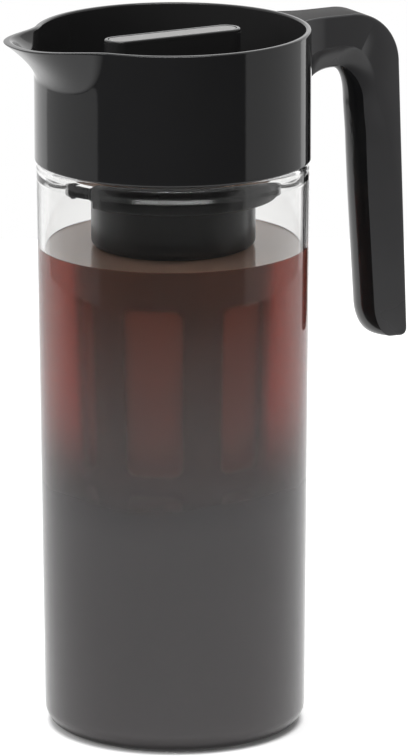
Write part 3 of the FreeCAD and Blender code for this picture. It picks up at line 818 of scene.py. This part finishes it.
def handle_stations(sizes):
    """Stations along the handle: for each the back point, the inner point, half the
    width, the flat side's depth and half the inner face's width.  share is 0 at the
    collar and 1 where the root ends.  The root's lines are straight but for a quarter
    round, the bend's are ellipses and the arm's are straight and lean outwards."""
    back_x = COLLAR_R + sizes.reach
    bend_x, bend_z = back_x - sizes.bend, RIM_Z - sizes.bend
    arch_x, arch_z = back_x - sizes.arm_top - sizes.arch, RIM_Z - sizes.bar - sizes.arch_drop
    end_z = RIM_Z - sizes.drop
    lean = math.tan(sizes.lean)
    half = sizes.width / 2
    flat_bar, flat_root, cove_bar, cove_arm, flat_end = 0.54, 0.80, 0.46, 0.86, 0.6
    bar_crease, bend_edge, arm_edge, end_edge = 0.45, 0.9 * MM, 0.5 * MM, 0.9 * MM
    share = np.linspace(0, 1, 64, endpoint=False)
    x = between(COLLAR_R, arch_x, share)
    out = np.clip((x - COLLAR_R) / sizes.root_length, 0, 1)
    drop = sizes.root_drop * quarter(out)
    flare = sizes.flare * np.clip(1 - 1.6 * out, 0, 1) ** 2
    root = {
        "back_x": x, "back_z": np.full_like(x, RIM_Z),
        "inner_x": x, "inner_z": RIM_Z - sizes.bar - drop,
        "half": half + flare,
        "flat": between(flat_bar, flat_root, drop / sizes.root_drop) * sizes.bar,
        "inner_half": sizes.keel + flare,
        "crown": np.full_like(x, sizes.bar_crown),
        "crease": np.full_like(x, bar_crease),
        "share": share,
    }
    turn = share * np.pi / 2
    bar_cove = cove_bar * sizes.bar - sizes.bar_crown
    bend = {
        "back_x": bend_x + sizes.bend * np.sin(turn), "back_z": bend_z + sizes.bend * np.cos(turn),
        "inner_x": arch_x + sizes.arch * np.sin(turn),
        "inner_z": arch_z + sizes.arch_drop * np.cos(turn),
        "half": np.full_like(share, half),
        "inner_half": between(sizes.keel, half - bend_edge, ease(share)),
        "crown": between(sizes.bar_crown, sizes.top_crown, ease(share)),
        "crease": between(bar_crease, 0.0, ease(1.5 * share)),
        "share": np.ones_like(share),
    }
    bend["flat"] = section_run(bend) - bend["crown"] - between(bar_cove, sizes.cove, ease(share))
    above = np.linspace(bend_z - end_z, sizes.end_up, 72, endpoint=False)
    rise = np.concatenate([above, sizes.end_up * (1 - np.sin(right_angle(40)))])
    back_z = end_z + rise
    share = (bend_z - back_z) / (bend_z - end_z + 4 * MM)
    inner_z = back_z - (bend_z - arch_z) * (1 - ease(3 * share))
    thick = between(sizes.arm_top, sizes.arm_end, (arch_z - inner_z) / (arch_z - end_z))
    lost = end_edge * quarter(rise / end_edge)
    out_lost = sizes.end_out * quarter(rise / sizes.end_out)
    in_lost = sizes.end_in * quarter(rise / sizes.end_up)
    arm = {
        "back_x": back_x + (bend_z - back_z) * lean - out_lost,
        "back_z": back_z,
        "inner_x": back_x + (arch_z - inner_z) * lean - thick + in_lost,
        "inner_z": inner_z,
        "half": half - lost,
        "inner_half": half - between(bend_edge, arm_edge, ease(2 * share)) - lost,
        "crown": between(sizes.top_crown, sizes.arm_crown, ease(2 * share)),
        "crease": np.zeros_like(share),
        "share": np.ones_like(share),
    }
    whole = section_run(arm) - arm["crown"]
    arm["flat"] = (whole - between(sizes.cove, cove_arm * whole, ease(2 * share))) * between(
        flat_end, 1, ease(rise / sizes.end_up))
    return {key: np.concatenate([root[key], bend[key], arm[key]])[:, None] for key in root}


def swept(stations, depth, side):
    """Surface of sections: back + (inner - back) / length * depth, and side along Y.
    In the root a point starts on the collar's cylinder and slides out by its share.
    The ends are closed by a polygon."""
    run = section_run(stations)
    x = stations["back_x"] + (stations["inner_x"] - stations["back_x"]) / run * depth
    z = stations["back_z"] + (stations["inner_z"] - stations["back_z"]) / run * depth
    y = side + 0 * x
    on_collar = np.sqrt(COLLAR_R ** 2 - y ** 2) - COLLAR_R - 0.3 * MM
    x = x + on_collar * (1 - stations["share"])
    points = np.stack([x, y, z], axis=-1)
    rows, columns = points.shape[:2]
    first = np.arange(columns)
    return *grid(points, wrap_columns=True), [first[::-1], first + (rows - 1) * columns]


def mirrored(depth, side):
    """Half a section, from the middle of the back to the middle of the inner face,
    and its mirror image, as one loop."""
    return np.hstack([depth, depth[:, -2:0:-1]]), np.hstack([side, -side[:, -2:0:-1]])


def handle_marks(stations):
    """Depth of the inner face's edge at each station."""
    return section_run(stations) - stations["crown"]


def shell_part(sizes, stations):
    """Handle's shell: a channel for the strip, a quarter round, a flat side, a cove
    (a cubic Bezier curve) and a channel for the inner cover."""
    half, flat, inner = stations["half"], stations["flat"], stations["inner_half"]
    edge = handle_marks(stations)
    lip = half - sizes.edge_round
    floor = edge - sizes.cover
    one = np.ones_like(half)
    t = right_angle(7)
    corner_depth = sizes.edge_round * (1 - np.cos(t)) * one
    corner_side = lip + sizes.edge_round * np.sin(t)
    b = np.linspace(0, 1, 17)
    weights = [(1 - b) ** 3, 3 * b * (1 - b) ** 2, 3 * b * b * (1 - b), b ** 3]
    run, fall = edge - flat, half - inner
    depths = (flat, flat + 0.15 * run, flat + 0.55 * run, edge)
    sides = (half, half - stations["crease"] * fall, half - 0.85 * fall, inner)
    cove_depth = sum(weight * depth for weight, depth in zip(weights, depths))
    cove_side = sum(weight * side for weight, side in zip(weights, sides))
    depth = np.hstack([
        sizes.inlay * one, sizes.inlay * one, corner_depth, cove_depth, floor, floor])
    side = np.hstack([0 * one, lip, corner_side, cove_side, inner - COVER_SLANT, 0 * one])
    return swept(stations, *mirrored(depth, side))


def strip_part(sizes, stations):
    """Matte strip in the handle's back, with softened edges and a seam round it."""
    lip = stations["half"] - sizes.edge_round - sizes.seam
    one = np.ones_like(lip)
    soft = 0.35 * MM
    t = right_angle(5)
    depth = np.hstack([0 * one, soft * (1 - np.cos(t)) * one, sizes.inlay * one, sizes.inlay * one])
    side = np.hstack([0 * one, lip - soft + soft * np.sin(t), lip, 0 * one])
    return swept(stations, *mirrored(depth, side))


def cover_part(sizes, stations):
    """Inner cover: its face bulges as crown * (1 - (side / half)^2)."""
    inner = stations["inner_half"] - sizes.seam
    edge = handle_marks(stations)
    floor = edge - sizes.cover
    one = np.ones_like(inner)
    s = np.linspace(1, 0, 17)
    face_depth = edge + stations["crown"] * (1 - s ** 2)
    depth = np.hstack([floor, floor, face_depth])
    side = np.hstack([0 * one, inner - COVER_SLANT, inner * s])
    return swept(stations, *mirrored(depth, side))


class COFFEEMAKER_OT_handle(bpy.types.Operator):
    """Builds the handle: shell, matte strip and glossy inner cover."""

    bl_idname = "coffee_maker.handle"
    bl_label = "Handle"

    def execute(self, context):
        """Three sections carried along the same path."""
        settings = context.scene.coffee_maker
        sizes, colours = settings.handle, settings.colours
        stations = handle_stations(sizes)
        satin = moulded("satin black", colours.satin, roughness=0.28, drift=0.06,
                        grain=0.015 * MM, grain_scale=700.0)
        matte = moulded("matte black", colours.matte, roughness=0.62, drift=0.06,
                        grain=0.06 * MM, grain_scale=1500.0, specular=0.25)
        gloss = moulded("gloss inner cover", colours.gloss, roughness=0.10, grain_scale=300.0)
        piece("handle_body", [shell_part(sizes, stations)], "jug",
              [satin], ["handle_shell"], sharp=42.0)
        piece("handle_strip", [strip_part(sizes, stations)], "jug",
              [matte], ["handle_top_inlay"])
        piece("handle_cover", [cover_part(sizes, stations)], "jug",
              [gloss], ["handle_inner_cover"])
        return {"FINISHED"}


# ---- lid -------------------------------------------------------------------
def stadium(sizes, profile):
    """Bar with round ends: each (inset, z) of the profile is offset inwards from
    the edge, as spine point + (half width - inset) * outward direction."""
    half = sizes.grip_width / 2
    straight = sizes.grip_length / 2 - half
    end = np.linspace(-np.pi / 2, np.pi / 2, 33)
    turn = np.concatenate([end, end + np.pi])[:, None]
    spine = np.repeat([straight, -straight], len(end))[:, None]
    points = turned(half - profile[:, 0], turn, profile[:, 1])
    points[..., 0] += spine
    return grid(points, wrap_rows=True)


def grip_profile(sizes):
    """Grip's flank (inset, z): a fillet that runs out into the plate, and the wall."""
    top, wall_top = SEAL_TOP + sizes.plate, GRIP_TOP - sizes.cap
    foot, middle, rooted = sizes.grip_foot, sizes.grip_width / 2, 1 * MM
    t = right_angle(9)
    return np.vstack([
        [[middle, top - rooted], [-foot, top - rooted]],
        arc(-foot, top + foot, foot, np.sin(t), -np.cos(t)),
        [[0, wall_top], [middle, wall_top]],
    ])


def cap_profile(sizes):
    """Cap's outline (inset, z): wall, rounded edge, rim, groove and sunk plate."""
    low = GRIP_TOP - sizes.cap + 0.15 * MM
    under, inset, slope = low - 0.3 * MM, 0.2 * MM, 0.08 * MM
    edge, rim = sizes.cap_round, sizes.cap_rim + sizes.cap_round
    groove = rim + sizes.cap_groove
    deep, plate = GRIP_TOP - 0.45 * MM, GRIP_TOP - CAP_SUNK
    middle = sizes.grip_width / 2
    t = right_angle(7)
    return np.vstack([
        [[middle, under], [inset, under], [inset, low], [0, low]],
        arc(edge, GRIP_TOP - edge, edge, -np.cos(t), np.sin(t)),
        [[rim, GRIP_TOP], [rim + slope, deep], [groove, deep]],
        [[groove + slope, plate], [middle, plate]],
    ])


class COFFEEMAKER_OT_lid(bpy.types.Operator):
    """Builds the lid's plate and grip, and dresses its skirt."""

    bl_idname = "coffee_maker.lid"
    bl_label = "Lid"

    def execute(self, context):
        """A turned plate, and a grip of offset stadiums."""
        settings = context.scene.coffee_maker
        sizes, colours = settings.lid, settings.colours
        # painted light: the lid takes the lighter inside black, not the collar's gloss black,
        # against the shade inside the collar
        gloss = moulded("lid black painted lighter", colours.inside, roughness=0.09)
        satin = moulded("grip plate grey", colours.plate, roughness=0.30, drift=0.05,
                        grain=0.02 * MM, grain_scale=900.0)
        skirt = moulded("lid skirt black", colours.filter, roughness=0.24, drift=0.05,
                        grain=0.02 * MM, grain_scale=500.0)
        edge = sizes.plate / 2 - 0.05 * MM
        top = SEAL_TOP + sizes.plate
        plate = revolved(rounded([
            (0, SEAL_TOP, 0), (sizes.radius, SEAL_TOP, edge),
            (sizes.radius, top, edge), (0, top, 0),
        ]))
        grip = stadium(sizes, grip_profile(sizes))
        piece("lid_plate_and_grip", [plate, grip], "lid", [gloss], ["lid_cover"])
        cap = piece("lid_grip_cap", [stadium(sizes, cap_profile(sizes))], "lid",
                    [gloss, satin], ["grip_cap"], sharp=30.0)
        second_material(cap, lambda centres, normals: (normals[:, 2] > 0.9) & (
            np.abs(centres[:, 2] - (GRIP_TOP - CAP_SUNK)) < 0.05 * MM))
        dress("lid_core", skirt)
        return {"FINISHED"}


# ---- filter and seals ------------------------------------------------------
class COFFEEMAKER_OT_filter(bpy.types.Operator):
    """Dresses the filter: cup, frame, mesh and base cap."""

    bl_idname = "coffee_maker.filter"
    bl_label = "Filter"

    def execute(self, context):
        """Satin plastic, and a woven mesh with holes."""
        colours = context.scene.coffee_maker.colours
        plastic = moulded("filter black", colours.filter, roughness=0.30, drift=0.08,
                          grain=0.02 * MM, grain_scale=600.0)
        for node in ("filter_cup", "filter_frame", "filter_base_cap"):
            dress(node, plastic)
        dress("filter_mesh", gauze("filter mesh", colours.gauze))
        return {"FINISHED"}


class COFFEEMAKER_OT_seals(bpy.types.Operator):
    """Dresses the silicone seals."""

    bl_idname = "coffee_maker.seals"
    bl_label = "Seals"

    def execute(self, context):
        """Black silicone."""
        soft = silicone("silicone", context.scene.coffee_maker.colours.rubber)
        for node in ("collar_gasket", "lid_seal", "filter_seal", "base_cap_seal"):
            dress(node, soft)
        return {"FINISHED"}


# ---- stage -----------------------------------------------------------------
def sight(finish):
    """Three marks of a ray, 0 or 1: the camera sees straight, also through clear
    plastic; it sees a reflection, also one inside the plastic; and soft light that
    comes in through clear plastic."""
    path = finish.node("ShaderNodeLightPath", {}, {})
    camera, through, glossy, bounced, scattered = [Value(finish, path.outputs[name]) for name in (
        "Is Camera Ray", "Is Transmission Ray", "Is Glossy Ray", "Glossy Depth", "Diffuse Depth")]
    once = bounced.least(1.0)
    soft = scattered.least(1.0)
    inside = through * (1.0 - soft)
    return camera.most(inside * (1.0 - once)), glossy.most(inside * once), through * soft


def side_wall(across, towards, dim_from, dim, bright_from, bright):
    """Brightness of the studio's wall on one side, by the ray's angle in degrees
    round from the front, atan2(across, towards): nothing, then dim, then bright."""
    around = across.turn(towards) * (180 / math.pi)
    back = around.ramp(bright_from, bright_from + 3.0)
    return around.ramp(dim_from, dim_from + 2.5) * dim * (1.0 - back) + back * bright


def studio(sizes):
    """World: white to the camera and straight through clear plastic; to reflections,
    also those inside the plastic, a pale room with a dim front, two side walls, a
    pale ceiling and a softbox; and plain soft light to everything else."""
    world = bpy.data.worlds.new("studio")
    bpy.context.scene.world = world
    finish = Finish(world, "ShaderNodeOutputWorld")
    seen, mirror, soft = sight(finish)
    x, y, z = finish.axes(finish.place("Generated"))
    right = (math.cos(sizes.azimuth), math.sin(sizes.azimuth))
    front = (math.sin(sizes.azimuth), -math.cos(sizes.azimuth))
    side = x * right[0] + y * right[1]
    towards = x * front[0] + y * front[1]
    left = side_wall(0.0 - side, towards, 64.0, 0.5, 128.0, 1.0)
    walls = left + side_wall(side, towards, 61.5, 0.58, 132.0, 1.25)
    dim_front, ceiling = 0.06, 0.9
    above = z.ramp(0.62, 0.80)
    softbox = z.ramp(0.84, 0.86) * z.ramp(0.92, 0.90) * towards.ramp(0.25, 0.40)
    room = (walls + dim_front) * (1.0 - above) + above * ceiling + softbox * sizes.softbox
    plain = soft * (sizes.inside - sizes.ambient) + sizes.ambient
    light = (1.0 - seen.most(mirror)) * plain + seen + mirror * (1.0 - seen) * room
    shone = {"Color": (1, 1, 1, 1), "Strength": light}
    finish.surface(finish.out("ShaderNodeBackground", {}, shone, "Background"))


def floor_finish(sizes):
    """Pale floor that reads white to the camera and keeps the object's shadow.  In
    reflections it glows, a painted reflection of a lit floor: bright near the object
    and behind it, darker forwards, as the height it is mirrored at grows with its
    radius.  Where the pitcher's foot meets it, that glow is cut, a painted contact
    shadow, and to the camera its white glow is cut there too, so that only its own lit colour
    shows."""
    finish = Finish(bpy.data.materials.new("pale floor"))
    seen, mirror, _ = sight(finish)
    place = finish.place()
    pale = finish.noise(place, 6.0)
    x, y, _ = finish.axes(place)
    radius = (x * x + y * y) ** 0.5
    forwards = (x * math.sin(sizes.azimuth) - y * math.cos(sizes.azimuth)) / radius
    near = radius.ramp(sizes.floor_radius, sizes.floor_near, 0.0, 1.0, "LINEAR")
    behind = forwards.ramp(0.2, -0.5, 0.08, 1.0)
    # painted contact shadow: near the foot the glow in reflections falls to a tenth
    contact, lit, clear_of, far = 51.0 * MM, 55.0 * MM, 57.0 * MM, 0.83
    glow = (near + (1.0 - near) * behind * far) * radius.ramp(contact, clear_of, 0.1, 1.0)
    clear = seen * radius.ramp(contact, lit)
    black, white = (0, 0, 0, 1), (1, 1, 1, 1)
    ground = finish.principled({
        "Base Color": finish.blend(pale, (0.80, 0.80, 0.80, 1), (0.82, 0.82, 0.82, 1)),
        "Roughness": 0.9,
        "Specular IOR Level": 0.0,
        "Emission Color": finish.blend(clear, black, white),
        "Emission Strength": 0.6,
    })
    # painted reflection: in reflections the floor glows as if lit, though it is no lamp
    shine = finish.principled({
        "Base Color": black,
        "Specular IOR Level": 0.0,
        "Emission Color": finish.blend(glow, black, white),
        "Emission Strength": 1.2,
    })
    both = {0: mirror, 1: ground, 2: shine}
    return finish.surface(finish.out("ShaderNodeMixShader", {}, both, "Shader"))


def lamp(name, spot, power, size):
    """Square lamp that faces the middle of the object."""
    data = bpy.data.lights.new(name, "AREA")
    data.energy = power
    data.size = size
    made = placed(name, data)
    made.location = spot
    middle = Vector((0, 0, 0.15))
    made.rotation_euler = (middle - made.location).to_track_quat("-Z", "Y").to_euler()
    made.visible_glossy = False
    made.visible_transmission = False


class COFFEEMAKER_OT_stage(bpy.types.Operator):
    """Sets the camera, the floor and the studio light."""

    bl_idname = "coffee_maker.stage"
    bl_label = "Stage"

    def execute(self, context):
        """Camera from its distance, height and tilt; floor disc; world and lamps."""
        sizes = context.scene.coffee_maker.stage
        right = Vector((math.cos(sizes.azimuth), math.sin(sizes.azimuth), 0))
        away = Vector((-math.sin(sizes.azimuth), math.cos(sizes.azimuth), 0))
        rise = Vector((0, 0, 1))
        flat = math.cos(sizes.pitch)
        look = right * (math.sin(sizes.yaw) * flat) + away * (math.cos(sizes.yaw) * flat)
        look -= rise * math.sin(sizes.pitch)
        across = right * math.cos(sizes.yaw) - away * math.sin(sizes.yaw)
        up = across.cross(look)
        level = across * math.cos(sizes.roll) + up * math.sin(sizes.roll)
        up = up * math.cos(sizes.roll) - across * math.sin(sizes.roll)
        camera = bpy.data.cameras.new("camera")
        camera.lens = sizes.lens
        camera.sensor_width = 36.0
        camera.clip_end = 20.0
        eye = placed("camera", camera)
        eye.matrix_world = Matrix.Translation(rise * sizes.height - away * sizes.distance) @ Matrix(
            (level, up, -look)).transposed().to_4x4()
        context.scene.camera = eye
        context.scene.view_settings.view_transform = "Standard"
        studio(sizes)
        lamp("overhead lamp", rise * 1.3 + away * 0.2, sizes.overhead, size=1.2)
        lamp("side lamp", rise * 0.8 - right * 1.0 - away * 0.7, sizes.key, size=0.9)
        edge = turned(sizes.floor_radius, full_turn(96), 0).reshape(-1, 3)
        mesh = bpy.data.meshes.new("floor")
        mesh.from_pydata(edge.tolist(), [], [list(range(len(edge)))])
        mesh.materials.append(floor_finish(sizes))
        floor = placed("floor", mesh)
        return {"FINISHED"}


class COFFEEMAKER_PT_sidebar(bpy.types.Panel):
    """Lists the coffee maker's settings and pieces."""

    bl_label = "Coffee maker"
    bl_space_type = "VIEW_3D"
    bl_region_type = "UI"
    bl_category = "Coffee maker"

    def draw(self, context):
        """Settings of each group, then a button for each piece."""
        settings = context.scene.coffee_maker
        for group in settings.__annotations__:
            box = self.layout.box()
            box.label(text=group.capitalize())
            sizes = getattr(settings, group)
            for name in sizes.__annotations__:
                box.prop(sizes, name)
        for operator in OPERATORS:
            self.layout.operator(operator.bl_idname)


# the operators, in the order in which main calls them
OPERATORS = (
    COFFEEMAKER_OT_stage,
    COFFEEMAKER_OT_pitcher,
    COFFEEMAKER_OT_coffee,
    COFFEEMAKER_OT_collar,
    COFFEEMAKER_OT_handle,
    COFFEEMAKER_OT_lid,
    COFFEEMAKER_OT_filter,
    COFFEEMAKER_OT_seals,
)
GROUPS = (
    PitcherSizes, CoffeeSizes, CollarSizes, HandleSizes, LidSizes, Colours, StageSizes, CoffeeMaker)


def register():
    """Registers the settings, the operators and the panel."""
    for kind in GROUPS + OPERATORS + (COFFEEMAKER_PT_sidebar,):
        bpy.utils.register_class(kind)
    bpy.types.Scene.coffee_maker = PointerProperty(type=CoffeeMaker)


def unregister():
    """Removes what register adds."""
    del bpy.types.Scene.coffee_maker
    for kind in reversed(GROUPS + OPERATORS + (COFFEEMAKER_PT_sidebar,)):
        bpy.utils.unregister_class(kind)


def main():
    register()
    for operator in OPERATORS:
        getattr(bpy.ops.coffee_maker, operator.bl_idname.split(".")[1])()


if __name__ == "__main__":
    main()
